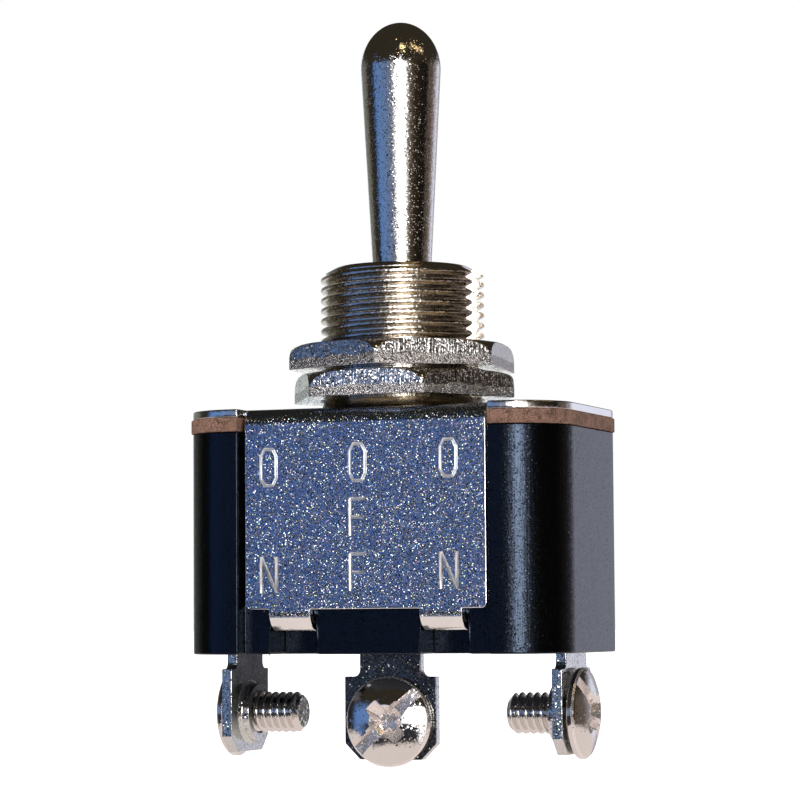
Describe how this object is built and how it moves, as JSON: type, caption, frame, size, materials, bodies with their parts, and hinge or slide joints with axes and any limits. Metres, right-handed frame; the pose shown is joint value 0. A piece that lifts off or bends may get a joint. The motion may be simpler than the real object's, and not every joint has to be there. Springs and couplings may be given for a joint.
{
  "type": "panel toggle switch",
  "caption": "Panel toggle switch with a bat lever, a threaded bushing and two nuts, a lettered plated frame over a black case, and screw terminals.",
  "frame": {"origin": "on the bushing's axis, in the plane of the upper nut's top face, where the panel seats", "axes": "+Z along the bushing towards the lever; +X towards the right-hand terminal, the way the lever is thrown; -Y out of the lettered front"},
  "size_m": [0.0292, 0.0172, 0.0545],
  "materials": {
    "phenolic": "moulded black phenolic, glossy with fine upright drag marks",
    "fibre": "vulcanised fibre sheet, matt, with a rough cut edge",
    "zinc_plate": "thin bright plating over sheet steel, satin with a fine sparkle",
    "nickel_plate": "bright nickel plating over turned brass",
    "bat_nickel": "bright nickel plating, slightly grainy",
    "nut_plate": "bright nickel plating over sheared and broken sides",
    "plain_steel": "plain drawn steel",
    "plunger_plastic": "moulded acetal, satin",
    "copper_alloy": "copper alloy, bare",
    "contact_metal": "silver alloy, satin",
    "terminal_plate": "plated brass strip with rough sheared edges",
    "screw_plate": "bright nickel plating over steel"
  },
  "bodies": {
    "switch_body": {"case": "phenolic", "fibre_insulator": "fibre", "steel_frame": "zinc_plate", "bushing": "nickel_plate", "fixed_contact_left": "contact_metal", "fixed_contact_right": "contact_metal", "terminal_left": "terminal_plate", "terminal_centre": "terminal_plate", "terminal_right": "terminal_plate"},
    "lever": {"lever": "bat_nickel", "pivot_pin": "plain_steel", "plunger_spring": "plain_steel"},
    "plunger": {"plunger": "plunger_plastic"},
    "rocker": {"rocker": "copper_alloy", "rocker_contact_left": "contact_metal", "rocker_contact_right": "contact_metal"},
    "upper_nut": {"upper_nut": "nut_plate"},
    "lower_nut": {"lower_nut": "nut_plate"},
    "screw_left": {"screw_left": "screw_plate"},
    "screw_centre": {"screw_centre": "screw_plate"},
    "screw_right": {"screw_right": "screw_plate"}
  },
  "joints": [
    {"name": "lever_tilt", "type": "hinge", "parent": "switch_body", "child": "lever", "pos_m": [0, 0, 0.0007], "axis": [0, 1, 0], "range_deg": [-14, 14]},
    {"name": "rocker_tilt", "type": "hinge", "parent": "switch_body", "child": "rocker", "pos_m": [0, 0, -0.0141], "axis": [0, 1, 0], "range_deg": [-7, 7]},
    {"name": "plunger_slide", "type": "slide", "parent": "lever", "child": "plunger", "axis": [0, 0, 1], "range_m": [0, 0.0008], "stiffness_N_per_m": 800, "springref_m": -0.003, "deforming": ["plunger_spring"]},
    {"name": "upper_nut_turn", "type": "hinge", "parent": "switch_body", "child": "upper_nut", "pos_m": [0, 0, -0.00093], "axis": [0, 0, 1], "continuous": true},
    {"name": "lower_nut_turn", "type": "hinge", "parent": "switch_body", "child": "lower_nut", "pos_m": [0, 0, -0.00308], "axis": [0, 0, 1], "continuous": true},
    {"name": "screw_left_turn", "type": "hinge", "parent": "switch_body", "child": "screw_left", "pos_m": [-0.01312, 0, -0.0267], "axis": [-1, 0, 0], "continuous": true},
    {"name": "screw_centre_turn", "type": "hinge", "parent": "switch_body", "child": "screw_centre", "pos_m": [0, -0.003, -0.02725], "axis": [0, -1, 0], "continuous": true},
    {"name": "screw_right_turn", "type": "hinge", "parent": "switch_body", "child": "screw_right", "pos_m": [0.01312, 0, -0.0267], "axis": [1, 0, 0], "continuous": true}
  ],
  "couplings": [
    {"joint": "rocker_tilt", "follows": "lever_tilt", "ratio": -0.5}
  ]
}
